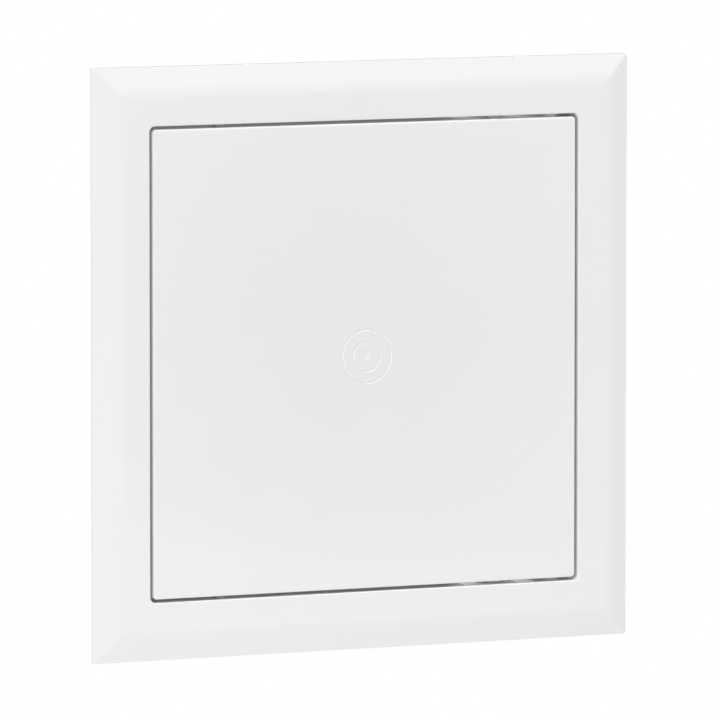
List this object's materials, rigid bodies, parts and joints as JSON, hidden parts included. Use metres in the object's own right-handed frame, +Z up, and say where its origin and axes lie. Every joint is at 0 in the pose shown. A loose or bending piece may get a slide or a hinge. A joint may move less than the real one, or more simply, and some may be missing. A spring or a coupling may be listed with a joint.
{
  "type": "ceiling access panel",
  "caption": "Square white plastic access panel: a flanged frame with a collar and a flush leaf that swings on two pins and snaps shut on two tongues.",
  "frame": {"origin": "centre of the opening, in the wall plane that the flange's back lies on", "axes": "+Y into the wall cavity, so the front faces -Y; +Z up; +X to the latch side, with the hinge at -X"},
  "size_m": [0.1826, 0.0222, 0.1826],
  "materials": {
    "white_abs": "moulded, semi-gloss",
    "natural_acetal": "moulded, satin"
  },
  "bodies": {
    "frame": {"frame": "white_abs", "hinge_pin_top": "natural_acetal", "hinge_pin_bottom": "natural_acetal"},
    "leaf": {"door_leaf": "white_abs"},
    "tongue_top": {"latch_tongue_top": "white_abs"},
    "tongue_bottom": {"latch_tongue_bottom": "white_abs"}
  },
  "joints": [
    {"name": "leaf_swing", "type": "hinge", "parent": "frame", "child": "leaf", "pos_m": [-0.0474, 0.0013, 0], "axis": [0, 0, -1], "range_deg": [0, 150]},
    {"name": "latch_flex_top", "type": "hinge", "parent": "frame", "child": "tongue_top", "pos_m": [0.0474, 0.0142, 0.07395], "axis": [-1, 0, 0], "range_deg": [0, 6], "stiffness_Nm_per_rad": 1.2},
    {"name": "latch_flex_bottom", "type": "hinge", "parent": "frame", "child": "tongue_bottom", "pos_m": [0.0474, 0.0142, -0.07395], "axis": [1, 0, 0], "range_deg": [0, 6], "stiffness_Nm_per_rad": 1.2}
  ]
}
